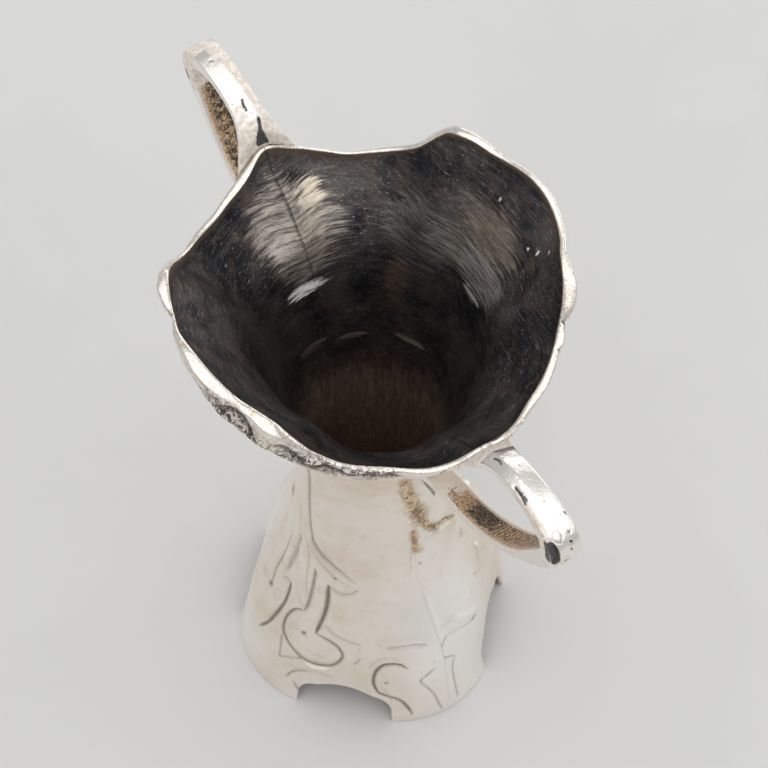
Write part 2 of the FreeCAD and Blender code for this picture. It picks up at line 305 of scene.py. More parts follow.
# Lines cut into the leafwork: width, depth, darkness, points in degrees and distance below the lip.
FRONT_LIP_LINES = [
    (0.30, 0.35, 0.75, [(-44, 0.5), (-38, 0.9), (-32, 0.5), (-27, 1.2), (-22, 0.8), (-18, 0.3)]),
    (0.30, 0.30, 0.60, [(-36, 1.8), (-28, 2.3), (-20, 1.6)]),
    (0.28, 0.35, 0.65, [(-12, 0.8), (-6, 0.5), (0, 1.0), (6, 0.5), (12, 0.8)]),
    (0.30, 0.30, 0.60, [(-66, 0.4), (-60, 0.8), (-55, 0.4), (-50, 0.7)]),
    (0.30, 0.45, 0.8, [(-6, 2.4), (0, 2.0), (6, 1.6), (11, 1.2), (14, 0.6)]),
    (0.35, 0.60, 1.0, [(9, 2.8), (13, 1.9), (17, 1.0), (20, 0.7), (24, 1.0), (28, 1.8)]),
    (0.35, 0.60, 1.0, [(12, 3.8), (17, 2.9), (22, 2.2), (27, 2.6), (31, 3.2), (36, 2.4)]),
    (0.30, 0.50, 0.9, [(16, 4.8), (24, 3.8), (31, 4.0), (38, 3.4)]),
    (0.30, 0.45, 0.9, [(33, 1.5), (36, 0.8), (39, 1.2), (43, 2.0), (48, 1.8)]),
    (0.32, 0.45, 1.0, [(40, 2.6), (45, 1.3), (49, 0.8), (53, 1.3), (58, 0.9), (63, 1.1), (68, 0.9)]),
    (0.28, 0.35, 0.8, [(48, 2.6), (55, 2.2), (62, 2.0), (70, 1.4), (76, 1.6)]),
    (0.28, 0.40, 0.9, [(-17, -0.2), (-16.2, 1.0), (-16, 2.6)]),
    (0.25, 0.30, 0.6, [(-47, -0.2), (-46.4, 1.0), (-47, 2.4)]),
    (0.25, 0.30, 0.5, [(-70, 1.2), (-62, 1.0), (-54, 1.2), (-48, 0.9)]),
    (0.25, 0.30, 0.5, [(-42, 2.0), (-34, 2.6), (-24, 2.2)]),
]
BACK_LIP_LINES = [
    (0.40, 0.60, 1.0, [(-42.5, -0.2), (-41.6, 1.0), (-42, 2.8)]),
    (0.30, 0.45, 0.9, [(-49.5, 0.0), (-47.6, 0.8), (-48, 2.4)]),
    (0.30, 0.40, 0.7, [(-27, 0.6), (-23, 1.0), (-19, 1.6)]),
    (0.30, 0.40, 0.9, [(13, 0.3), (15, 0.9), (17.5, 0.5)]),
    (0.30, 0.40, 0.8, [(-8, 1.8), (0, 1.4), (8, 1.8), (12, 1.2)]),
    (0.30, 0.40, 0.8, [(24, 1.6), (30, 1.2), (34, 2.0)]),
    (0.30, 0.40, 0.8, [(70, 1.0), (74, 1.3), (77, 0.9)]),
]
# Leafwork mottled black between its veins: strength, radius, points as above.
FRONT_MOTTLES = [
    (1.0, 1.3, [(12, 1.9), (18, 1.3), (24, 1.6), (30, 2.5), (35, 2.3), (40, 1.6)]),
    (1.0, 1.1, [(38, 1.5), (43, 1.0), (50, 0.6), (58, 0.5), (66, 0.6)]),
    (0.7, 0.6, [(10, 0.9), (16, 0.6), (20, 0.6)]),
    (0.6, 0.5, [(-6, 1.8), (4, 1.9), (12, 2.0)]),
    (0.5, 0.4, [(-52, 0.9), (-46, 0.9)]),
    (0.6, 0.6, [(-40, 0.9), (-33, 1.3), (-27, 1.6), (-21, 1.0)]),
    (0.6, 0.5, [(-18, 0.4), (-14, 0.5)]),
]
BACK_MOTTLES = [
    (0.8, 0.6, [(-43, 0.6), (-41, 1.0)]),
    (0.7, 0.5, [(13, 0.5), (17, 0.6)]),
    (0.5, 0.5, [(-25, 0.5), (-21, 0.8)]),
]

# Places on the outer wall near the seams that kept golden tarnish from soldering: strength, radius,
# points in degrees from the middle of the half and height. Those in the first list are given at the
# right-hand seam of the half and stand at both.
SEAM_GOLD = [
    (1.0, 1.5, [(81, 83), (85.4, 74), (90, 69), (94.6, 63), (98.6, 59.5)]),
    (1.0, 2.0, [(94, 64), (97.5, 60.5)]),
    (0.6, 1.3, [(90, 57), (91, 50)]),
]
GOLDEN_PLACES = [
    (0.8, 1.1, [(-82.5, 60), (-76, 55), (-67, 52)]),
    (0.7, 0.7, [(-67, 52), (-54, 49), (-40, 43)]),
]
# How far the back half's foot is pushed in from round: degrees from the middle of the half, amount.
BACK_TUCK = [(-90, 0.0), (-70, 0.3), (-45, 0.9), (-20, 1.0), (10, 0.0), (90, 0.0)]
TUCK_TOP_Z = 26.0          # height where the push dies away


def both_seams(mark):
    """A mark at the right-hand seam of a half, and the same mark at its left-hand seam."""
    *measures, line = mark
    return [mark, (*measures, [(angle - 180, height) for angle, height in line])]


CHASED_LINES += both_seams(GAPING_SEAM)
RAISED_STROKES += both_seams(CORNER_RIDGE)
for stain in SEAM_GOLD:
    GOLDEN_PLACES += both_seams(stain)


# ---------------------------------------------------------------- shape functions
def through(stations, column, at):
    """Smooth values at many places, through stations whose first number is the place."""
    places = np.array([station[0] for station in stations], float)
    values = np.array([station[column] for station in stations], float)
    slopes = np.zeros(len(places))
    slopes[1:-1] = (values[2:] - values[:-2]) / (places[2:] - places[:-2])
    i = np.clip(np.searchsorted(places, at) - 1, 0, len(places) - 2)
    span = places[i + 1] - places[i]
    t = (at - places[i]) / span
    rise = values[i] * (1 + 2 * t) * (1 - t) ** 2 + values[i + 1] * t * t * (3 - 2 * t)
    lean = slopes[i] * t * (1 - t) ** 2 - slopes[i + 1] * t * t * (1 - t)
    return rise + span * lean


def rim_angle(turn):
    """Degrees from the handle plane, 0 to 90."""
    return np.degrees(np.arccos(np.clip(np.abs(np.cos(turn)), 0.0, 1.0)))


def rim_height(turn):
    return RIM_HEIGHT + through(RIM_WAVE, 2, rim_angle(turn))


def rim_radius(turn):
    return MOUTH_RADIUS + through(RIM_WAVE, 1, rim_angle(turn))


def outside(turn, level):
    """Points of the plain outer surface. Level runs 0 to 1 up the skirt and neck, 1 to 2 up the mouth."""
    turn, level = np.broadcast_arrays(turn, level)
    low = np.clip(level, 0.0, 1.0) * NECK_TOP_Z
    over_foot = through(SKIRT_PROFILE, 1, low)
    over_arch = through(SKIRT_PROFILE, 2, low)
    skirt_radius = (over_foot + over_arch) / 2 + (over_foot - over_arch) / 2 * np.cos(4 * turn)
    share = np.clip(level - 1.0, 0.0, 1.0)
    mouth_radius = NECK_RADIUS + through(MOUTH_PROFILE, 1, share) * (rim_radius(turn) - NECK_RADIUS)
    mouth_height = NECK_TOP_Z + share * (rim_height(turn) - NECK_TOP_Z)
    radius = np.where(level <= 1.0, skirt_radius, mouth_radius)
    height = np.where(level <= 1.0, low, mouth_height)
    return np.stack([radius * np.cos(turn), radius * np.sin(turn), height], -1)


def unit(vectors):
    return vectors / np.linalg.norm(vectors, axis=-1, keepdims=True)


def outward(turn, level):
    """Outward normals of the plain outer surface."""
    turn, level = np.broadcast_arrays(turn, level)
    round_about = outside(turn + STEP, level) - outside(turn - STEP, level)
    upward = outside(turn, np.minimum(2.0, level + STEP)) - outside(turn, np.maximum(0.0, level - STEP))
    return unit(np.cross(round_about, upward))


def level_of(turn, height):
    """Level of a height above the table."""
    share = (height - NECK_TOP_Z) / (rim_height(turn) - NECK_TOP_Z)
    return np.where(height <= NECK_TOP_Z, height / NECK_TOP_Z, 1.0 + share)


def curve_through(points, per_span=24):
    """Many points along a smooth curve through a few."""
    points = np.array(points, float)
    padded = np.vstack([2 * points[0] - points[1], points, 2 * points[-1] - points[-2]])
    t = np.linspace(0, 1, per_span, endpoint=False)[:, None]
    runs = []
    for a, b, c, d in zip(padded, padded[1:], padded[2:], padded[3:]):
        runs.append(0.5 * (2 * b + (c - a) * t + (2 * a - 5 * b + 4 * c - d) * t**2
                           + (3 * b - a - 3 * c + d) * t**3))
    return np.vstack(runs + [points[-1:]])


def nearest(points, line, reach):
    """For each point, its distance to the nearest sample of a line and that sample's share of the way."""
    distance = np.full(len(points), 1e3)
    share = np.zeros(len(points))
    low = line.min(0) - reach
    high = line.max(0) + reach
    near = np.flatnonzero(np.all((points > low) & (points < high), axis=1))
    for block in np.array_split(near, len(near) // 4000 + 1):
        if len(block):
            gaps = np.linalg.norm(points[block][:, None] - line[None], axis=-1)
            best = gaps.argmin(1)
            distance[block] = gaps[np.arange(len(block)), best]
            share[block] = best / max(1, len(line) - 1)
    return distance, share


def bell(x):
    return np.exp(-x * x)


def evenly(points, gap=0.22):
    """Points along a polyline, an even gap apart."""
    along = np.concatenate([[0], np.cumsum(np.linalg.norm(np.diff(points, axis=0), axis=1))])
    at = np.linspace(0, along[-1], max(2, int(along[-1] / gap)))
    return np.stack([np.interp(at, along, points[:, axis]) for axis in range(3)], -1)


def wall_line(points, height_of):
    """A line given in degrees and a second measure, as points on the front half's plain outer surface."""
    curve = curve_through(points)
    turn = np.radians(curve[:, 0]) + HALF_MIDDLE
    return evenly(outside(turn, level_of(turn, height_of(turn, curve[:, 1]))))


def skirt_line(points):
    """A line given in degrees and height above the table."""
    return wall_line(points, lambda turn, height: height)


def lip_line(points):
    """A line given in degrees and distance below the lip."""
    return wall_line(points, lambda turn, drop: rim_height(turn) - drop)


def smooth(value):
    """Smooth step from 0 to 1."""
    t = np.clip(value, 0, 1)
    return t * t * (3 - 2 * t)


def below_lip(turn, level):
    """Distance below the lip, and far more than the lip's depth on the skirt and neck."""
    return np.where(level > 1.0, (2.0 - level) * (rim_height(turn) - NECK_TOP_Z), 99.0)


def strongest(points, places, as_line):
    """Strength of the strongest of some places, each with a strength, a radius and a line."""
    value = np.zeros(len(points))
    for strength, radius, line in places:
        distance, _ = nearest(points, as_line(line), 3 * radius)
        value = np.maximum(value, strength * bell(distance / radius))
    return value


# Metal pushed up beside a chased line: its height over the line's depth, then its distance from the
# line's middle and its width, both over the line's width.
BURR_SHARE = 0.22
BURR_PLACE = 2.1
BURR_WIDTH = 0.8
STROKE_TAPER = 6           # raised strokes swell to full height over one part in this many
LINE_TAPER = 7             # chased lines deepen over one part in this many
LINE_BLUNT = 0.45          # share of its full depth a chased line has at its very ends
DARK_SHARPNESS = 1.1       # how much narrower a line's tarnish is than its cut


def relief(points, turn, level, lip, lip_lines):
    """How far the outer surface stands proud of the plain one, and how dark it is with tarnish."""
    proud = np.zeros(len(points))
    for half_width, height, line in RAISED_STROKES:
        distance, share = nearest(points, skirt_line(line), 3 * half_width)
        taper = np.clip(np.minimum(share, 1 - share) * STROKE_TAPER, 0, 1)
        proud = np.maximum(proud, STROKE_SWELL * height * taper * bell(distance / half_width))
    angle = np.degrees(turn - HALF_MIDDLE)
    drop = below_lip(turn, level)
    edge = through(lip, 2, angle)
    leaf = through(lip, 3, angle)
    swell = edge + (leaf - edge) * smooth(drop / LEAFWORK_FROM)
    proud += swell * (1 - smooth((drop - LEAFWORK_TO) / (LEAFWORK_END - LEAFWORK_TO)))
    cut = np.zeros(len(points))
    dark = np.zeros(len(points))
    lines = [(skirt_line(line), width, depth, black) for width, depth, black, line in CHASED_LINES]
    lines += [(lip_line(line), width, depth, black) for width, depth, black, line in lip_lines]
    for line, width, depth, black in lines:
        distance, share = nearest(points, line, 6 * width)
        taper = np.clip(np.minimum(share, 1 - share) * LINE_TAPER + LINE_BLUNT, 0, 1)
        across = distance / (width * taper)
        cut = np.maximum(cut, depth * taper * bell(across))
        dark = np.maximum(dark, black * bell(across * DARK_SHARPNESS))
        proud += BURR_SHARE * depth * taper * bell((across - BURR_PLACE) / BURR_WIDTH)
    for degrees, height, size, depth, black in PUNCHED_DOTS:
        spot = skirt_line([(degrees, height), (degrees, height + 0.1)])[:1]
        distance, share = nearest(points, spot, 4 * size)
        cut = np.maximum(cut, depth * bell(distance / size))
        dark = np.maximum(dark, black * bell(distance / size))
    return proud - cut, dark


def foot_line(angle):
    """Height of the lower edge of the wall: 0 at a foot, the arch's outline between two feet."""
    from_diagonal = np.abs(np.abs(angle) - 45.0)
    across = np.radians(from_diagonal) * ARCH_WALL_RADIUS
    corner = np.clip(across - (ARCH_HALF_WIDTH - ARCH_CORNER), 0.0, ARCH_CORNER)
    crown = (ARCH_HEIGHT - ARCH_SHOULDER) * np.clip(across / (ARCH_HALF_WIDTH - ARCH_CORNER), 0, 1) ** 2
    height = ARCH_HEIGHT - crown - ARCH_CORNER + np.sqrt(ARCH_CORNER**2 - corner**2)
    return np.where(across < ARCH_HALF_WIDTH, height, 0.0)


def foot_outline():
    """Points along the lower edge of one half, in millimetres along the wall and height."""
    side = math.degrees(ARCH_HALF_WIDTH / ARCH_WALL_RADIUS)
    angles = np.linspace(-90, 90, 1201)
    points = [np.stack([angles, foot_line(angles)], -1)]
    rise = np.linspace(0, ARCH_SHOULDER - ARCH_CORNER, 12)
    for diagonal in (-45, 45):
        for edge in (diagonal - side, diagonal + side):
            points.append(np.stack([np.full(len(rise), edge), rise], -1))
    outline = np.vstack(points)
    outline[:, 0] = np.radians(outline[:, 0]) * ARCH_WALL_RADIUS
    return outline


def spread(start, zones):
    """Places from start through zones, each given by where it ends and how many steps it has."""
    places = [start]
    for end, steps in zones:
        places += list(np.linspace(places[-1], end, steps + 1)[1:])
    return np.array(places)


def column_angles():
    """Columns of the outer grid, closer together where the arches' sides stand."""
    side = math.degrees(ARCH_HALF_WIDTH / ARCH_WALL_RADIUS)
    places = list(spread(-90.0, COLUMN_ZONES))
    for diagonal in (-45, 45):
        for way in (-1, 1):
            places += [diagonal + way * (side + gap) for gap in ARCH_SIDE_GAPS]
    return np.unique(np.round(places, 3))


def rounding(distance):
    """Depth taken off a sheet's face near its edge."""
    short = np.clip(EDGE_ROUND - distance, 0, EDGE_ROUND)
    return EDGE_ROUND - np.sqrt(EDGE_ROUND**2 - short**2)


def half_levels(angles, low_rows, skirt_zones, mouth_zones):
    """Levels of a grid over one half, rows by columns, with rows packed towards its two edges."""
    turn = np.radians(angles) + HALF_MIDDLE
    foot = foot_line(angles)
    climb = (np.linspace(0, 1, low_rows + 1) ** LOW_CROWDING)[:, None]
    low = (foot + climb * (LOW_TOP_Z - foot)) / NECK_TOP_Z
    skirt = spread(LOW_TOP_Z, skirt_zones)[1:, None] / NECK_TOP_Z
    mouth = 1.0 + spread(0.0, mouth_zones)[1:, None]
    rows = [low] + [np.repeat(part, len(angles), 1) for part in (skirt, mouth)]
    return np.broadcast_to(turn, (sum(map(len, rows)), len(angles))), np.vstack(rows)


def edge_distance(turn, level):
    """Distance of each point from the lower edge of its half, near that edge."""
    distance = np.full(level.shape, 99.0)
    along = (turn - HALF_MIDDLE) * ARCH_WALL_RADIUS
    height = level * NECK_TOP_Z
    low = np.argwhere(height < LOW_TOP_Z * 0.9)
    outline = foot_outline()
    flat = np.stack([along, height], -1)[low[:, 0], low[:, 1]]
    for block in np.array_split(np.arange(len(low)), len(low) // 2000 + 1):
        gaps = np.linalg.norm(flat[block][:, None] - outline[None], axis=-1).min(1)
        distance[low[block, 0], low[block, 1]] = gaps
    return distance


# ---------------------------------------------------------------- mesh helpers
def grid_faces(first, rows, columns):
    """Quads of a grid whose points are numbered row by row from first."""
    index = first + np.arange(rows * columns).reshape(rows, columns)
    quads = np.stack([index[:-1, :-1], index[:-1, 1:], index[1:, 1:], index[1:, :-1]], -1)
    return quads.reshape(-1, 4)


def bridge(first, second, first_at, second_at):
    """Triangles between two rows of points, matched by rising places along them."""
    i = 0
    j = 0
    faces = []
    while i < len(first) - 1 or j < len(second) - 1:
        step_first = j == len(second) - 1 or (i < len(first) - 1 and first_at[i + 1] <= second_at[j + 1])
        if step_first:
            faces.append((first[i], first[i + 1], second[j]))
            i += 1
        else:
            faces.append((first[i], second[j + 1], second[j]))
            j += 1
    return faces


def tube_faces(rounds, sides):
    """Quads of a tube whose points are numbered ring by ring, and a face on each end."""
    index = np.arange(rounds * sides).reshape(rounds, sides)
    wrapped = np.concatenate([index, index[:, :1]], 1)
    corners = [wrapped[:-1, :-1], wrapped[1:, :-1], wrapped[1:, 1:], wrapped[:-1, 1:]]
    quads = np.stack(corners, -1).reshape(-1, 4)
    return quads.tolist() + [index[0].tolist(), index[-1][::-1].tolist()]


def add_piece(name, node, points, faces, materials, material_of_face=0, curved=True, attributes=()):
    """A finished piece that rides on the body and stands for its CAD node. Its curved faces look smooth."""
    mesh = bpy.data.meshes.new(name)
    mesh.from_pydata((np.asarray(points) * MM).tolist(), [], [list(face) for face in faces])
    for material in materials:
        mesh.materials.append(material)
    kinds = np.broadcast_to(material_of_face, len(faces)).astype(np.int32)
    mesh.polygons.foreach_set("material_index", kinds)
    mesh.polygons.foreach_set("use_smooth", np.broadcast_to(curved, len(faces)).copy())
    for label, values in dict(attributes).items():
        attribute = mesh.attributes.new(label, "FLOAT", "POINT")
        attribute.data.foreach_set("value", np.asarray(values, np.float32))
    mesh.update()
    piece = bpy.data.objects.new(name, mesh)
    bpy.context.scene.collection.objects.link(piece)
    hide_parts(node)
    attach(piece, "root")


# ---------------------------------------------------------------- shader helpers
def add(tree, kind, inputs=(), **settings):
    """A node with its settings and inputs. An input is a value, or a field to link from."""
    node = tree.nodes.new(kind)
    for key, value in settings.items():
        setattr(node, key, value)
    for key, value in dict(inputs).items():
        if isinstance(value, Field):
            tree.links.new(value.socket, node.inputs[key])
        else:
            node.inputs[key].default_value = value
    return node


class Field:
    """A number, colour or place that varies over a surface. Arithmetic on it adds nodes."""

    def __init__(self, tree, socket):
        self.tree = tree
        self.socket = socket

    def maths(self, operation, a, b=0.0):
        node = add(self.tree, "ShaderNodeMath", {0: a, 1: b}, operation=operation)
        return Field(self.tree, node.outputs[0])

    def __add__(self, other):
        return self.maths("ADD", self, other)

    def __sub__(self, other):
        return self.maths("SUBTRACT", self, other)

    def __rsub__(self, other):
        return self.maths("SUBTRACT", other, self)

    def __mul__(self, other):
        return self.maths("MULTIPLY", self, other)

    def largest(self, other):
        return self.maths("MAXIMUM", self, other)

    def sine(self):
        return self.maths("SINE", self)

    def clamped(self):
        """The number just worked out, held between 0 and 1."""
        self.socket.node.use_clamp = True
        return self

    def ranged(self, low, high, new_low=0.0, new_high=1.0):
        """The number carried from one range to another, clamped, with soft ends."""
        inputs = {0: self, 1: low, 2: high, 3: new_low, 4: new_high}
        node = add(self.tree, "ShaderNodeMapRange", inputs)
        node.interpolation_type = "SMOOTHSTEP"
        return Field(self.tree, node.outputs[0])

    def vector(self, operation, other=(0.0, 0.0, 0.0), output=0):
        node = add(self.tree, "ShaderNodeVectorMath", {0: self, 1: other}, operation=operation)
        return Field(self.tree, node.outputs[output])

    def length(self):
        return self.vector("LENGTH", output="Value")


class Paint:
    """A procedural material while it is being made. Its places are in millimetres."""

    def __init__(self, name):
        self.material = bpy.data.materials.new(name)
        self.material.use_nodes = True
        self.tree = self.material.node_tree
        self.shader = self.tree.nodes["Principled BSDF"]
        node = add(self.tree, "ShaderNodeTexCoord")
        self.metres = Field(self.tree, node.outputs["Object"])

    def place(self, stretch=(1.0, 1.0, 1.0)):
        """Coordinates in millimetres, stretched along the axes."""
        inputs = {"Vector": self.metres, "Scale": tuple(1 / MM * s for s in stretch)}
        return Field(self.tree, add(self.tree, "ShaderNodeMapping", inputs).outputs[0])

    def noise(self, scale, detail=4.0, roughness=0.5, distortion=0.0, stretch=(1.0, 1.0, 1.0)):
        inputs = {"Vector": self.place(stretch), "Scale": scale, "Detail": detail,
                  "Roughness": roughness, "Distortion": distortion}
        return Field(self.tree, add(self.tree, "ShaderNodeTexNoise", inputs).outputs[0])

    def attribute(self, name):
        node = add(self.tree, "ShaderNodeAttribute", attribute_name=name)
        return Field(self.tree, node.outputs["Fac"])

    def mixed(self, share, a, b):
        """Colour between a and b."""
        a, b = (colour if isinstance(colour, Field) else (*colour, 1.0) for colour in (a, b))
        node = add(self.tree, "ShaderNodeMix", {0: share, 6: a, 7: b}, data_type="RGBA")
        return Field(self.tree, node.outputs[2])

    def nearness(self, centre, radii, soft=0.5):
        """One inside an ellipsoid, falling to nothing past its edge."""
        moved = self.metres.vector("ADD", [-c * MM for c in centre])
        scaled = moved.vector("MULTIPLY", [1 / (r * MM) for r in radii])
        return scaled.length().ranged(1.0 + soft, 1.0 - soft)

    def finished(self, colour, metallic, roughness, height, swing, strength=0.6):
        """The material, with its colour, finish, and bumps whose full swing is in millimetres."""
        inputs = {"Height": height, "Distance": swing * MM, "Strength": strength}
        normal = Field(self.tree, add(self.tree, "ShaderNodeBump", inputs).outputs[0])
        values = {"Base Color": colour, "Metallic": metallic, "Roughness": roughness, "Normal": normal}
        for name, value in values.items():
            if isinstance(value, Field):
                self.tree.links.new(value.socket, self.shader.inputs[name])
            else:
                self.shader.inputs[name].default_value = value
        return self.material


# ---------------------------------------------------------------- materials
RIB_TURN = 5.4             # radians of the ribs' wave per millimetre along a strap
SILVER = (0.93, 0.865, 0.79)
BRIGHT_SILVER = (0.95, 0.92, 0.88)
# paler, cooler silver painted in as highlights
HIGHLIGHT_SILVER = (1.0, 0.975, 0.94)
HANDLE_SILVER = (0.95, 0.91, 0.86)
LIP_STAIN = (0.80, 0.69, 0.56)
WARM_TARNISH = (0.78, 0.64, 0.49)
LINE_TARNISH = (0.16, 0.13, 0.115)
DARK_TARNISH = (0.045, 0.040, 0.038)
DARK_GOLD = (0.30, 0.18, 0.10)
PALE_GOLD = (0.84, 0.64, 0.42)
BRIGHT_GOLD = (0.95, 0.86, 0.74)

# Painted highlights outside, where the silver is painted paler and cooler for bright reflections: centre,
# radii, strength.
PAINTED_HIGHLIGHT_PLACES = [
    ((26.0, 6.0, 22.0), (12.0, 14.0, 40.0), 0.9),
    ((-14.0, -30.0, 6.0), (16.0, 12.0, 12.0), 0.8),
    ((20.0, -22.0, 4.0), (12.0, 12.0, 8.0), 0.6),
    ((-24.0, -18.0, 20.0), (9.0, 12.0, 30.0), 0.8),
]
# Places inside the mouth filed or rubbed down towards the metal, with pale matt spots painted in among them
# as
# highlights and sheen: centre, radii, strength, colour, and how matt the metal was left.
FILED_AND_SHEEN_PLACES = [
    ((-27.5, 0.0, 110.0), (8.5, 8.5, 10.5), 0.9, (0.60, 0.53, 0.46), 0.15),
    ((-30.0, 5.0, 114.0), (3.5, 3.0, 3.0), 1.3, (0.95, 0.82, 0.66), 0.4),
    ((-28.0, 2.5, 110.0), (4.5, 4.0, 3.0), 0.9, (0.72, 0.62, 0.52), 0.2),
    ((-28.0, -4.0, 106.5), (4.5, 4.5, 4.5), 1.1, (0.70, 0.63, 0.56), 0.3),
    # painted highlight: near-white matt band along the ledge where the bowl narrows into the neck
    ((-25.8, -2.6, 99.6), (6.5, 5.5, 1.7), 2.2, (0.98, 0.95, 0.91), 0.7),
    ((-14.0, 19.0, 110.0), (8.0, 6.0, 7.0), 0.4, (0.42, 0.39, 0.37), 0.1),
    ((-2.0, 28.0, 118.0), (9.0, 4.5, 5.5), 0.45, (0.52, 0.42, 0.32), 0.1),
    ((2.0, 24.5, 112.0), (8.0, 4.5, 4.0), 0.7, (0.66, 0.61, 0.58), 0.2),
    ((-9.0, 23.0, 112.0), (6.0, 4.0, 3.4), 0.6, (0.46, 0.42, 0.38), 0.1),
    ((-14.0, 14.5, 98.0), (2.2, 2.6, 9.0), 0.5, (0.34, 0.22, 0.16), 0.0),
    ((1.6, 21.6, 108.0), (2.6, 2.6, 1.2), 0.9, (0.80, 0.78, 0.75), 0.3),
    ((-16.4, -3.6, 85.6), (2.6, 3.4, 0.8), 0.7, (0.42, 0.34, 0.29), 0.2),
    ((-15.4, 5.0, 84.2), (2.6, 3.0, 0.7), 0.7, (0.46, 0.38, 0.33), 0.2),
    ((-8.4, 14.0, 85.0), (3.4, 2.6, 0.8), 0.8, (0.50, 0.42, 0.37), 0.2),
]
# Small white specks dried on inside the mouth: centre, radii.
DRIED_SPECKS = [
    ((-4.6, 31.0, 124.2), (0.28, 0.9, 0.36)),
    ((6.7, 30.0, 122.8), (0.30, 0.8, 0.26)),
    ((9.0, 30.3, 124.0), (0.26, 0.9, 0.52)),
    ((11.2, 31.0, 126.2), (0.30, 0.9, 0.26)),
]


def outside_silver():
    """Satin silver: tarnish in the chased lines, mottled leafwork, bright lip, golden solder stains, and
    painted highlights on the feet and side panels.
    """
    paint = Paint("silver_outside")
    cloud = paint.noise(0.07, 5.0, 0.6)
    blotch = paint.noise(0.35, 4.0, 0.6, 0.6)
    grain = paint.noise(3.5, 5.0, 0.65)
    vein = paint.noise(0.95, 3.0, 0.6, 1.2)
    crease = paint.noise(0.55, 3.0, 0.6, 0.8)
    brushed = paint.noise(1.1, 5.0, 0.7, stretch=(0.5, 0.5, 5.0))
    polish = paint.attribute("polish")
    line = paint.attribute("tarnish") * grain.ranged(0.3, 0.6, 0.7, 1.1)
    mottle = paint.attribute("mottle") * vein.ranged(0.44, 0.54)
    golden = (paint.attribute("golden") + crease * 1.3).ranged(0.75, 1.35)
    warm = cloud.ranged(0.40, 0.68) * blotch.ranged(0.3, 0.7, 0.4, 1.0) * 0.6

    colour = paint.mixed(warm, SILVER, WARM_TARNISH)
    # painted highlights: paler, cooler silver where bright reflections fall on the feet and side panels
    for centre, radii, strength in PAINTED_HIGHLIGHT_PLACES:
        colour = paint.mixed(paint.nearness(centre, radii, 0.6) * strength, colour, HIGHLIGHT_SILVER)
    stained = paint.mixed(vein.ranged(0.44, 0.62, 0.0, 0.85), BRIGHT_SILVER, LIP_STAIN)
    stained = paint.mixed(grain.ranged(0.60, 0.70, 0.0, 0.5), stained, WARM_TARNISH)
    colour = paint.mixed(polish * 0.85, colour, stained)
    colour = paint.mixed(line.ranged(0.10, 0.95, 0.0, 0.88), colour, LINE_TARNISH)
    gold = paint.mixed(crease.ranged(0.36, 0.60), DARK_GOLD, PALE_GOLD)
    gold = paint.mixed(vein.ranged(0.58, 0.66), gold, BRIGHT_GOLD)
    colour = paint.mixed(golden, colour, gold)
    colour = paint.mixed(mottle * 0.93, colour, DARK_TARNISH)

    rough = brushed.ranged(0.3, 0.7, 0.36, 0.44) - polish * 0.17 - golden * 0.18 + line * 0.2
    crumple = (crease * 12.0 + vein * 4.0) * golden
    height = brushed * 0.35 + grain * 0.3 + blotch * 1.6 + crumple + vein * (mottle + polish)
    return paint.finished(colour, 1.0, rough, height, 0.06)


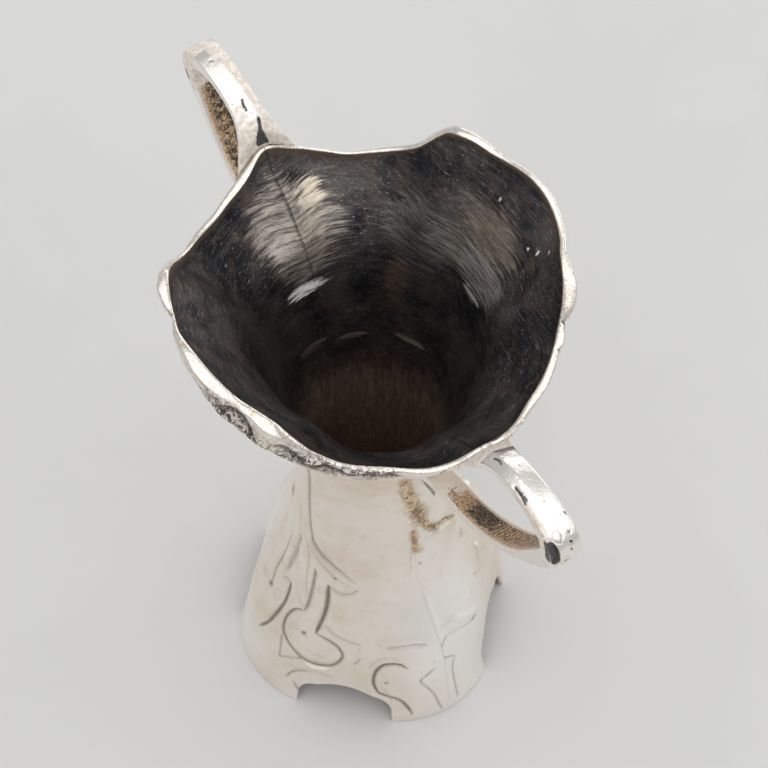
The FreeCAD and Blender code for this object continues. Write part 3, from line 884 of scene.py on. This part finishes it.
def inside_silver():
    """Black tarnish inside, brushed and filed in places down to the metal, with pale matt spots painted in as
    highlights and sheen, brown in the neck.
    """
    paint = Paint("silver_inside")
    cloud = paint.noise(0.10, 6.0, 0.65)
    patch = paint.noise(0.28, 5.0, 0.6, 0.8)
    speck = paint.noise(2.4, 5.0, 0.7)
    dust = paint.noise(3.2, 1.0, 0.5)
    hoops = paint.noise(1.0, 6.0, 0.75, 0.6, stretch=(0.20, 0.20, 3.4))
    upright = paint.noise(1.0, 6.0, 0.75, 0.6, stretch=(1.6, 1.6, 0.16))
    scratch = paint.noise(1.0, 3.0, 0.6, 0.3, stretch=(0.15, 1.3, 4.0))
    strokes = paint.noise(1.0, 3.0, 0.6, 0.5, stretch=(0.16, 0.16, 1.9))

    colour = paint.mixed(cloud.ranged(0.36, 0.66), (0.020, 0.020, 0.026), (0.115, 0.105, 0.102))
    colour = paint.mixed(patch.ranged(0.48, 0.72, 0.0, 0.6), colour, (0.150, 0.100, 0.080))
    colour = paint.mixed(hoops.ranged(0.52, 0.72, 0.0, 0.42), colour, (0.40, 0.37, 0.35))
    colour = paint.mixed(upright.ranged(0.54, 0.78, 0.0, 0.40), colour, (0.38, 0.34, 0.31))
    colour = paint.mixed(scratch.ranged(0.63, 0.70, 0.0, 0.60), colour, (0.62, 0.58, 0.54))
    colour = paint.mixed(dust.ranged(0.73, 0.76, 0.0, 0.8), colour, (0.60, 0.58, 0.56))

    ragged = strokes * 1.9 + hoops * 1.2 - 1.55
    shade = (hoops + strokes * 0.8).ranged(0.72, 1.06, 0.25, 1.0)
    dull = 0.0
    # filed metal, and pale matt spots painted in as highlights and sheen, left matt so they catch light
    for centre, radii, strength, metal, matt in FILED_AND_SHEEN_PLACES:
        near = paint.nearness(centre, radii, 0.6)
        filed_and_sheen = (near + ragged).ranged(0.15, 0.90, 0.0, strength) * near.ranged(0.0, 0.35)
        filed_and_sheen = (filed_and_sheen * shade).clamped()
        colour = paint.mixed(filed_and_sheen, colour, metal)
        dull = (filed_and_sheen * matt).largest(dull)
    for centre, radii in DRIED_SPECKS:
        colour = paint.mixed(paint.nearness(centre, radii, 0.15), colour, (0.95, 0.95, 0.93))
    rim = paint.attribute("below_lip").ranged(1.6, 0.2, 0.0, 0.8)
    colour = paint.mixed(rim, colour, (0.36, 0.27, 0.20))

    up = Field(paint.tree, add(paint.tree, "ShaderNodeSeparateXYZ", {0: paint.place()}).outputs[2])
    in_neck = (up + patch * 12.0).ranged(90.0, 72.0)
    brown = paint.mixed(upright.ranged(0.35, 0.7), (0.20, 0.130, 0.095), (0.50, 0.36, 0.27))
    colour = paint.mixed(in_neck, colour, brown)
    metallic = (in_neck.ranged(0.0, 1.0, 0.75, 0.25) - dull).clamped()
    height = hoops * 0.7 + speck * 0.35 + patch * 4.0
    return paint.finished(colour, metallic, speck.ranged(0.3, 0.7, 0.28, 0.44), height, 0.15)


def handle_silver(name, ribbed):
    """Cast silver, bright and in places frosted; its hollow is crusted brown and black, ribbed or pitted."""
    paint = Paint(name)
    blotch = paint.noise(0.45, 5.0, 0.65, 0.4)
    grain = paint.noise(2.6, 5.0, 0.7)
    clump = paint.noise(0.9, 5.0, 0.7, 0.5)
    pits = paint.noise(1.7, 2.0, 0.5)
    along = paint.attribute("along")
    across = paint.attribute("across")
    ragged = (clump - 0.5) * 16.0
    wander = along + ragged

    crust = paint.attribute("crust") * wander.ranged(84.0, 78.0) * along.ranged(38.0, 41.0)
    crust = (crust + grain * 0.4).ranged(0.45, 0.85)
    near_edge = (across + ragged * 0.12).ranged(-1.0, -1.8)
    ribs = (along * RIB_TURN + ragged).sine().ranged(-0.3, 0.6) * along.ranged(70.0, 66.0, 0.0, ribbed)
    pitted = clump.ranged(0.42, 0.54) * (1.0 - ribbed)
    black_zone = wander.ranged(64.0, 67.0) * wander.ranged(77.0, 74.0)
    black = (black_zone * ribbed).largest(pitted).largest(ribs) * (1.0 - near_edge)
    black = black.largest(grain.ranged(0.56, 0.62, 0.0, 0.8))
    black = (black - grain.ranged(0.44, 0.40, 0.0, 0.6)).clamped()
    ochre = paint.mixed(grain.ranged(0.35, 0.6), (0.84, 0.66, 0.47), (0.46, 0.30, 0.18))
    ochre = paint.mixed(black * 0.92, ochre, (0.055, 0.05, 0.048))

    colour = paint.mixed(blotch.ranged(0.52, 0.78, 0.0, 0.35), HANDLE_SILVER, WARM_TARNISH)
    colour = paint.mixed(pits.ranged(0.735, 0.76, 0.0, 0.8), colour, LINE_TARNISH)
    frost = (paint.attribute("frosted") + clump * 0.8).ranged(0.6, 1.1)
    tan = paint.mixed(clump.ranged(0.4, 0.62), (0.99, 0.93, 0.86), (0.78, 0.67, 0.57))
    colour = paint.mixed(frost, colour, tan)
    colour = paint.mixed(crust, colour, ochre)
    line = paint.attribute("tarnish") * grain.ranged(0.35, 0.5, 0.7, 1.2)
    colour = paint.mixed(line.ranged(0.25, 0.8), colour, (0.075, 0.07, 0.07))

    rough = grain.ranged(0.3, 0.7, 0.17, 0.28) + crust * 0.28 + frost * 0.2
    height = blotch * 1.6 + grain * 0.2 - pits.ranged(0.72, 0.76, 0.0, 0.8)
    height = height + crust * (clump * 3.0 - black * 0.8) + frost * (clump * 2.0)
    return paint.finished(colour, frost.ranged(0.0, 1.0, 1.0, 0.3), rough, height, 0.14)


def disc_silver():
    """Brown tarnished plate with turning marks and a paler bead of solder."""
    paint = Paint("silver_disc")
    cloud = paint.noise(0.10, 6.0, 0.65)
    grain = paint.noise(2.2, 5.0, 0.7)
    from_axis = paint.place((1.0, 1.0, 0.0)).length()
    turned = (from_axis * 7.0 + cloud * 6.0).sine()
    colour = paint.mixed(cloud.ranged(0.35, 0.65), (0.34, 0.215, 0.145), (0.60, 0.42, 0.30))
    colour = paint.mixed(grain.ranged(0.55, 0.75, 0.0, 0.6), colour, (0.16, 0.12, 0.10))
    colour = paint.mixed(from_axis.ranged(22.0, 24.5, 0.0, 0.5), colour, (0.70, 0.64, 0.56))
    rough = grain.ranged(0.3, 0.7, 0.38, 0.55)
    return paint.finished(colour, 0.5, rough, turned * 0.12 + grain, 0.08)


def floor_paper():
    """Pale grey surface with faint smudges."""
    paint = Paint("floor_paper")
    smudge = paint.noise(0.012, 5.0, 0.6, 0.5)
    fibre = paint.noise(0.35, 4.0, 0.6)
    colour = paint.mixed(smudge.ranged(0.3, 0.7), (0.700, 0.698, 0.692), (0.730, 0.728, 0.721))
    return paint.finished(colour, 0.0, fibre.ranged(0.3, 0.7, 0.75, 0.9), fibre, 0.05, 0.3)


# ---------------------------------------------------------------- pieces
def outer_sheet(angles, turn, level, plain, proud, lip, tuck):
    """Rows of points up a half's outside and over its lip's rounded top."""
    outer = plain + outward(turn, level) * (proud - rounding(edge_distance(turn, level)))[..., None]
    pull_in(outer, angles, tuck)
    edge = inner_face(turn[-1:], level[-1:], lip)
    share = np.array(CROWN_ROWS)[:, None, None]
    crown = outer[-1:] + (edge - outer[-1:]) * share
    crown[..., 2] += CROWN_HEIGHT * (1 - np.abs(2 * share[..., 0] - 1) ** 2.5)
    return np.concatenate([outer, crown])


def half_faces(outer_shape, inner_shape, outer_angles, inner_angles, outer_climb, inner_climb):
    """Faces of the two sheets, then of the strips that close the foot line, the lip and the two seams."""
    outer_index = np.arange(np.prod(outer_shape)).reshape(outer_shape)
    inner_index = np.arange(np.prod(inner_shape)).reshape(inner_shape) + outer_index.size
    outside_faces = grid_faces(0, *outer_shape).tolist()
    inside_faces = grid_faces(outer_index.size, *inner_shape)[:, ::-1].tolist()
    edges = bridge(inner_index[0], outer_index[0], inner_angles, outer_angles)
    edges += bridge(outer_index[-1], inner_index[-1], outer_angles, inner_angles)
    seams = bridge(outer_index[:, 0], inner_index[:, 0], outer_climb, inner_climb)
    seams += bridge(inner_index[:, -1], outer_index[:, -1], inner_climb, outer_climb)
    faces = outside_faces + inside_faces + edges + seams
    order = np.arange(len(faces))
    is_inside = (order >= len(outside_faces)) & (order < len(outside_faces) + len(inside_faces))
    return faces, is_inside, order < len(faces) - len(seams)


def body_half(name, node, half_turns, materials, lip, lip_lines, mottles, tuck=None):
    """One stamped half of the body: chased outside, plain inside, with a rounded cast lip."""
    angles = column_angles()
    turn, level = half_levels(angles, LOW_ROWS, SKIRT_ZONES, MOUTH_ZONES)
    plain = outside(turn, level)
    flat = plain.reshape(-1, 3)
    proud, dark = relief(flat, turn.ravel(), level.ravel(), lip, lip_lines)
    outer = outer_sheet(angles, turn, level, plain, proud.reshape(turn.shape), lip, tuck)

    inner_angles = np.concatenate([np.linspace(-90, 90, INNER_COLUMNS), angles[angles_by_arch(angles)]])
    inner_angles = np.unique(inner_angles)
    inner_turn, inner_level = half_levels(inner_angles, INNER_LOW_ROWS, INNER_SKIRT_ZONES, INNER_MOUTH_ZONES)
    inner = inner_face(inner_turn, inner_level, lip)
    pull_in(inner, inner_angles, tuck)

    for sheet in (outer, inner):
        sheet[:, 0, 1] = 0.0
        sheet[:, -1, 1] = 0.0
        sheet[..., 2] = np.maximum(sheet[..., 2], 0.0)
    points = np.vstack([outer.reshape(-1, 3), inner.reshape(-1, 3)])
    climb = np.concatenate([level[:, 0], 2.0 + np.array(CROWN_ROWS) * STEP])
    faces, is_inside, curved = half_faces(outer.shape[:2], inner.shape[:2], angles, inner_angles,
                                          climb, inner_level[:, 0])

    drop = below_lip(turn, level).ravel()
    mottle = strongest(flat, mottles, lip_line)
    over_lip = 1 - smooth(np.array(CROWN_ROWS)[:, None] * 1.1)
    top = slice(-len(angles), None)
    crown_size = len(CROWN_ROWS) * len(angles)
    inside = np.zeros(inner_turn.size)
    attributes = {
        "tarnish": np.concatenate([dark, (dark[top] * over_lip).ravel(), inside]),
        "mottle": np.concatenate([mottle, (mottle[top] * over_lip).ravel(), inside]),
        "golden": np.concatenate([strongest(flat, GOLDEN_PLACES, skirt_line), np.zeros(crown_size), inside]),
        "polish": np.concatenate([bell(drop / 1.2), np.ones(crown_size), inside]),
        "below_lip": np.concatenate([drop, np.zeros(crown_size), below_lip(inner_turn, inner_level).ravel()]),
    }
    if half_turns % 2:
        points[:, :2] *= -1
    add_piece(name, node, points, faces, materials, is_inside, curved, attributes)


def pull_in(points, angles, tuck):
    """Move a half's lower part in towards the axis, by an amount given along its columns, if any."""
    if tuck is None:
        return
    share = smooth((TUCK_TOP_Z - points[..., 2]) / TUCK_TOP_Z)
    radius = np.linalg.norm(points[..., :2], axis=-1)
    scale = 1 - through(tuck, 1, angles) * share / radius
    points[..., :2] *= scale[..., None]


def inner_face(turn, level, lip):
    """Points of the wall's inner face, which follows the lip's inner edge near the top."""
    to_edge = through(lip, 1, np.degrees(turn - HALF_MIDDLE)) + WALL
    follow = 1 - smooth(below_lip(turn, level) / LIP_REACH)
    depth = WALL - to_edge * follow - rounding(edge_distance(turn, level))
    return outside(turn, level) - outward(turn, level) * depth[..., None]


def angles_by_arch(angles):
    """Which columns stand beside the arches' upright sides."""
    side = math.degrees(ARCH_HALF_WIDTH / ARCH_WALL_RADIUS)
    return np.abs(np.abs(np.abs(angles) - 45.0) - side) < 0.9


# ---------------------------------------------------------------- handles
HANDLE_ROUNDS = 520        # rings along a handle
HANDLE_SIDES = 96          # points round a ring
TIP_X = 64.0               # where the strap turns back
RIDGE_OFFSET = 0.8         # how far the ridge lies from the strap's middle
TIP_FLATTENING = 0.28      # how much higher the side edges stand round the tip, in thicknesses
TIP_FLATTENING_REACH = 9.0
TIP_INWARD = 1.5           # how much thicker the strap is on its inside round the tip
TIP_INWARD_REACH = 7.0
HOLLOW = 0.45              # depth of the hollow down the inner face
HEART_WIDTH = 0.6          # how far marks cut straight in, rather than towards the strap's middle
SEAT_IN_LIP = 2.0          # how much further out a handle's root ends where the lip stands out
SEAT_REACH = 2.6           # distance outside the rim where the strap comes down to the lip
SEAT_RISE = 0.1            # how far the strap may stand above the rim there

# Marks on a strap: radius, depth, darkness and points, each by distance from the lip root along the
# strap, distance across it, and height from its middle in thicknesses.
RIGHT_MARKS = [
    (0.36, 0.10, 0.6, [(12.6, -1.5, 0.45), (13.8, -1.2, 0.45), (14.6, -1.4, 0.42)]),
    (0.36, 0.20, 0.85, [(20.2, -2.3, 0.33), (22.0, -2.3, 0.33), (23.8, -2.6, 0.30)]),
    (0.28, 0.10, 0.65, [(21.8, -1.9, 0.40), (23.6, -2.1, 0.35)]),
    (0.27, 0.30, 1.0, [(31.0, 1.4, 0.35), (31.1, 1.5, 0.35)]),
    (0.27, 0.30, 1.0, [(32.2, 1.0, 0.4), (32.4, 1.2, 0.4)]),
    (0.27, 0.30, 1.0, [(33.4, 0.8, 0.4), (33.5, 0.9, 0.4)]),
    (0.15, 0.15, 0.5, [(30.0, -0.9, 0.5), (30.4, -1.7, 0.46), (31.3, -1.7, 0.46), (31.7, -0.8, 0.5),
                       (31.0, -0.1, 0.5), (30.2, -0.3, 0.5), (30.0, -0.9, 0.5)]),
    (0.90, 0.10, 1.0, [(31.4, -3.0, 0.1), (32.6, -3.1, 0.0), (34.4, -3.1, -0.1)]),
    (0.90, 0.05, 1.0, [(31.6, -2.6, 0.3), (32.8, -2.3, 0.35), (34.2, -2.4, 0.35)]),
    (0.22, 0.10, 0.7, [(28.0, 2.4, 0.3), (28.5, 2.5, 0.3)]),
    (0.26, 0.10, 0.7, [(30.4, 2.2, 0.3), (31.0, 2.3, 0.3)]),
    (0.25, 0.15, 0.8, [(30.2, -2.6, 0.3), (29.6, -2.9, 0.2)]),
    (0.35, 0.15, 0.6, [(35.0, -0.6, 0.5), (35.6, 0.4, 0.5)]),
]
LEFT_MARKS = [
    (0.42, 0.20, 0.85, [(12.2, 0.4, 0.48), (13.3, 0.4, 0.48), (14.2, 0.1, 0.5)]),
    (0.65, 0.30, 1.0, [(6.0, 0.9, 0.45), (7.0, 0.2, 0.45)]),
    (0.60, 0.30, 1.0, [(5.8, 0.1, 0.45), (7.4, -0.1, 0.45)]),
    (0.60, 0.30, 1.0, [(5.8, -0.8, 0.45), (7.4, -0.4, 0.45)]),
    (0.42, 0.25, 1.0, [(7.2, -0.2, 0.45), (8.6, -0.7, 0.45), (9.9, -1.1, 0.42)]),
    (0.30, 0.25, 0.9, [(34.8, -2.6, 0.3), (35.4, -1.0, 0.3)]),
    (0.45, 0.10, 0.9, [(36.0, 2.9, 0.1), (37.6, 3.0, 0.0)]),
    (0.25, 0.12, 0.5, [(24.5, 0.6, 0.4), (24.8, 0.9, 0.4)]),
]
# Frosted places: strength, then the ranges along and across (towards the front half negative).
RIGHT_FROSTED = [
    (1.0, -5.0, 10.5, -9.0, 9.0),
    (0.7, 21.0, 33.0, -4.0, -2.1),
    (0.6, 34.0, 38.0, -2.6, 0.4),
]
LEFT_FROSTED = [
    (1.0, -5.0, 10.0, -9.0, 0.9),
    (0.5, 9.0, 14.0, -3.5, -0.4),
    (0.8, 3.0, 15.0, 1.2, 9.0),
    (1.0, 14.0, 40.0, 1.0, 5.0),
    (1.0, 24.5, 40.0, -0.2, 5.0),
    (1.0, 28.0, 40.0, -4.0, 5.0),
]
FROST_EDGE = 2.0           # how softly they end


def handle_spine(tip_lift):
    """Rings' places, middles, outward directions and sizes along a handle, evenly spaced."""
    stations = np.array(HANDLE_STATIONS, float)
    stations[:, 1] += tip_lift * smooth((stations[:, 0] - LIFT_FROM_X) / (LIFT_TO_X - LIFT_FROM_X))
    gaps = np.linalg.norm(np.diff(stations[:, :2], axis=0), axis=1)
    along = np.concatenate([[0], np.cumsum(gaps)])
    table = [(s, *row) for s, row in zip(along, stations)]
    at = np.linspace(0, along[-1], HANDLE_ROUNDS)
    x, z, width, thickness, droop = [through(table, column, at) for column in range(1, 6)]
    ahead = unit(np.stack([np.gradient(x), np.zeros_like(x), np.gradient(z)], -1))
    out = np.stack([-ahead[:, 2], np.zeros_like(x), ahead[:, 0]], -1)
    middle = np.stack([x, np.zeros_like(x), z], -1)
    return at, middle, out, width, thickness, droop


def handle_rings(middle, out, width, thickness, droop):
    """Rings of a handle with its ridge and rounded corners, and each ring point's share of the inner face."""
    side = np.array([0.0, 1.0, 0.0])
    tip = bell((middle[:, 0] - TIP_X) / TIP_FLATTENING_REACH)
    low = -thickness / 2 - droop - TIP_INWARD * bell((middle[:, 0] - TIP_X) / TIP_INWARD_REACH)
    edge = thickness * (RIDGE_SHARE + TIP_FLATTENING * tip) - droop
    crest = -RIDGE_OFFSET / (width / 2)
    whole = np.ones(len(middle))
    corners = [(-whole, low), (-whole, edge), (crest, thickness / 2), (whole, edge), (whole, low)]
    loops = [middle + side * (way * width / 2)[:, None] + out * rise[:, None] for way, rise in corners]
    loops = np.stack(loops, 1)
    places = np.linspace(0, len(corners), HANDLE_SIDES, endpoint=False)
    first = places.astype(int)
    share = (places - first)[None, :, None]
    ring = loops[:, first] * (1 - share) + loops[:, (first + 1) % len(corners)] * share
    for _ in range(5):
        ring = (np.roll(ring, 1, 1) + 2 * ring + np.roll(ring, -1, 1)) / 4
    # hollow down the middle of the inner face
    inner_share = np.clip(np.sin(np.clip(places - 4.0, 0, 1) * math.pi), 0, 1) ** 0.7
    ring = ring + out[:, None] * (HOLLOW * inner_share)[None, :, None]
    return ring, np.broadcast_to(inner_share, ring.shape[:2])


def strap_line(points, at, middle, out, thickness):
    """A line given along, across and in height on a strap, as points in space."""
    curve = curve_through(points, 8)
    base = np.stack([np.interp(curve[:, 0], at, middle[:, axis]) for axis in range(3)], -1)
    way = np.stack([np.interp(curve[:, 0], at, out[:, axis]) for axis in range(3)], -1)
    rise = np.interp(curve[:, 0], at, thickness) * curve[:, 2]
    base[:, 1] += curve[:, 1]
    return base + way * rise[:, None]


def seat(ring):
    """Rings of a handle with what would pass through the wall or over the lip set back into the metal."""
    turn = np.arctan2(ring[..., 1], ring[..., 0])
    radius = np.linalg.norm(ring[..., :2], axis=-1)
    height = ring[..., 2]
    wall = np.linalg.norm(outside(turn, np.clip(level_of(turn, height), 0, 2))[..., :2], axis=-1)
    on_lip = smooth((height - rim_height(turn)) / LIP_REACH + 1)
    least = wall - WALL * 0.6 + on_lip * SEAT_IN_LIP
    scale = np.maximum(radius, least) / radius
    over = smooth((rim_radius(turn) + SEAT_REACH - radius * scale) / SEAT_REACH)
    top = rim_height(turn) + SEAT_RISE
    lowered = height - over * np.maximum(0, height - top)
    return np.stack([ring[..., 0] * scale, ring[..., 1] * scale, lowered], -1)


def frosted(along, across, places):
    """Strength of a strap's frosted places at points along and across it."""
    value = np.zeros(len(along))
    for strength, start, end, near, far in places:
        lengthwise = np.minimum(along - start, end - along)
        crosswise = np.minimum(across - near, far - across)
        inside = np.minimum(lengthwise, 2.0 * crosswise)
        value = np.maximum(value, strength * smooth(inside / FROST_EDGE + 0.5))
    return value


def handle(name, node, half_turns, material, tip_lift, marks, frost):
    """Cast strap handle with a ridged outer face, marks in it, and a hollowed inner face."""
    at, middle, out, width, thickness, droop = handle_spine(tip_lift)
    ring, inner_share = handle_rings(middle, out, width, thickness, droop)
    points = ring.reshape(-1, 3)
    heart = np.repeat(middle, HANDLE_SIDES, 0)
    heart[:, 1] = points[:, 1] * HEART_WIDTH
    dark = np.zeros(len(points))
    cut = np.zeros(len(points))
    for radius, depth, black, line in marks:
        distance, _ = nearest(points, strap_line(line, at, middle, out, thickness), 3 * radius)
        dark = np.maximum(dark, black * bell((distance / radius) ** 2))
        cut = np.maximum(cut, depth * bell(distance / radius))
    ring = (points - unit(points - heart) * cut[:, None]).reshape(ring.shape)
    across = ring[..., 1].ravel().copy()
    ring = seat(ring)
    points = ring.reshape(-1, 3)
    if half_turns % 2:
        points[:, :2] *= -1
        across = -across
    along = np.repeat(at, HANDLE_SIDES)
    attributes = {
        "tarnish": dark,
        "crust": inner_share.ravel(),
        "along": along,
        "across": across,
        "frosted": frosted(along, across, frost),
    }
    faces = tube_faces(HANDLE_ROUNDS, HANDLE_SIDES)
    add_piece(name, node, points, faces, [material], attributes=attributes)


# ---------------------------------------------------------------- base plate and floor
DISC_COLUMNS = 180
DISC_ROWS = 24
DISC_BEAD = 0.7            # height of the solder bead
DISC_BEAD_FROM = 0.92      # share of the way out from the axis where it begins
DISC_DOME = 0.25           # how far the plate's middle stands up
DISC_BEAD_ROWS = [0.945, 0.965, 0.98, 0.99, 1.0]        # shares of the way out of the bead's rows
DISC_GAP = 0.02            # gap between the plate and the wall
FLOOR_REACH = 4.0          # metres from the middle of the floor to its sides


def disc(material):
    """Plate closing the skirt, slightly domed, with a bead of solder round both sides."""
    turn = np.linspace(-math.pi, math.pi, DISC_COLUMNS, endpoint=False)
    middle = (DISC_Z + DISC_THICKNESS / 2) / NECK_TOP_Z
    edge = outside(turn, middle) - outward(turn, middle) * (WALL + DISC_GAP)
    reach = np.linalg.norm(edge[:, :2], axis=-1)
    shares = np.concatenate([np.linspace(0.02, DISC_BEAD_FROM, DISC_ROWS), DISC_BEAD_ROWS])
    bead = DISC_BEAD * smooth((shares - DISC_BEAD_FROM) / (1 - DISC_BEAD_FROM))
    dome = DISC_DOME * (1 - shares ** 2)
    layers = []
    for side in (1, -1):
        rise = side * (DISC_THICKNESS / 2 + bead) + dome
        flat = shares[:, None] * reach[None]
        height = np.broadcast_to((DISC_Z + DISC_THICKNESS / 2 + rise)[:, None], flat.shape)
        layers.append(np.stack([flat * np.cos(turn), flat * np.sin(turn), height], -1))
    rows = np.concatenate([layers[0], layers[1][::-1]])
    faces = tube_faces(len(rows), DISC_COLUMNS)
    add_piece("disc", "base_disc", rows.reshape(-1, 3), faces, [material])


def floor(material):
    mesh = bpy.data.meshes.new("floor")
    corners = [(x * FLOOR_REACH, y * FLOOR_REACH, 0) for x, y in ((-1, -1), (1, -1), (1, 1), (-1, 1))]
    mesh.from_pydata(corners, [], [(0, 1, 2, 3)])
    mesh.materials.append(material)
    piece = bpy.data.objects.new("floor", mesh)
    bpy.context.scene.collection.objects.link(piece)


# ---------------------------------------------------------------- light and camera
SURROUNDINGS = 0.49        # brightness of the pale surroundings
# Soft lights: name, place, width and height in metres, and power in watts.
LIGHTS = [
    ("overhead", (0.12, -0.02, 1.5), 2.9, 2.9, 21.5),
    ("behind", (-0.7, 1.6, 0.36), 2.8, 0.7, 6.8),
]
# The camera, in degrees and millimetres: where it looks from, how it is rolled, and the point it
# looks at, which is on the axis and then a little to the right in its own view.
CAMERA_AZIMUTH = 59.25
CAMERA_ELEVATION = 58.35
CAMERA_ROLL = -0.52
CAMERA_DISTANCE = 480.2
CAMERA_LENS = 117.2
CAMERA_AIM_HEIGHT = 91.6
CAMERA_AIM_RIGHT = 2.5


def area_light(name, place, width, height, power):
    """Soft rectangular light that faces the object."""
    lamp = bpy.data.lights.new(name, "AREA")
    lamp.shape = "RECTANGLE"
    lamp.size = width
    lamp.size_y = height
    lamp.energy = power
    light = bpy.data.objects.new(name, lamp)
    bpy.context.scene.collection.objects.link(light)
    light.location = place
    light.rotation_euler = (-Vector(place)).to_track_quat("-Z", "Y").to_euler()


def studio():
    """Pale surroundings, a large soft light overhead and a long soft one low behind the object."""
    world = bpy.data.worlds.new("studio")
    bpy.context.scene.world = world
    world.use_nodes = True
    background = world.node_tree.nodes["Background"]
    background.inputs["Color"].default_value = (1.0, 1.0, 1.0, 1.0)
    background.inputs["Strength"].default_value = SURROUNDINGS
    for light in LIGHTS:
        area_light(*light)
    bpy.context.scene.view_settings.view_transform = "Standard"


def camera():
    a = math.radians(CAMERA_AZIMUTH)
    e = math.radians(CAMERA_ELEVATION)
    roll = math.radians(CAMERA_ROLL)
    back = Vector((math.sin(a) * math.cos(e), -math.cos(a) * math.cos(e), math.sin(e)))
    level_right = Vector((math.cos(a), math.sin(a), 0))
    level_up = back.cross(level_right)
    right = level_right * math.cos(roll) + level_up * math.sin(roll)
    up = level_up * math.cos(roll) - level_right * math.sin(roll)
    aim = Vector((0, 0, CAMERA_AIM_HEIGHT)) + right * CAMERA_AIM_RIGHT
    place = (aim + back * CAMERA_DISTANCE) * MM
    data = bpy.data.cameras.new("camera")
    data.lens = CAMERA_LENS
    data.clip_start = 0.01
    data.clip_end = 50.0
    view = bpy.data.objects.new("camera", data)
    bpy.context.scene.collection.objects.link(view)
    view.matrix_world = Matrix((right, up, back)).transposed().to_4x4()
    view.location = place
    bpy.context.scene.camera = view


camera()
studio()
floor(floor_paper())
body_materials = [outside_silver(), inside_silver()]
body_half("body_front", "body_front_half", 0, body_materials, FRONT_LIP, FRONT_LIP_LINES, FRONT_MOTTLES)
body_half("body_back", "body_back_half", 1, body_materials, BACK_LIP, BACK_LIP_LINES, BACK_MOTTLES, BACK_TUCK)
ribbed = handle_silver("silver_ribbed_hollow", 1.0)
pitted = handle_silver("silver_pitted_hollow", 0.0)
handle("handle_right_cast", "handle_right", 0, ribbed, RIGHT_TIP_LIFT, RIGHT_MARKS, RIGHT_FROSTED)
handle("handle_left_cast", "handle_left", 1, pitted, LEFT_TIP_LIFT, LEFT_MARKS, LEFT_FROSTED)
disc(disc_silver())
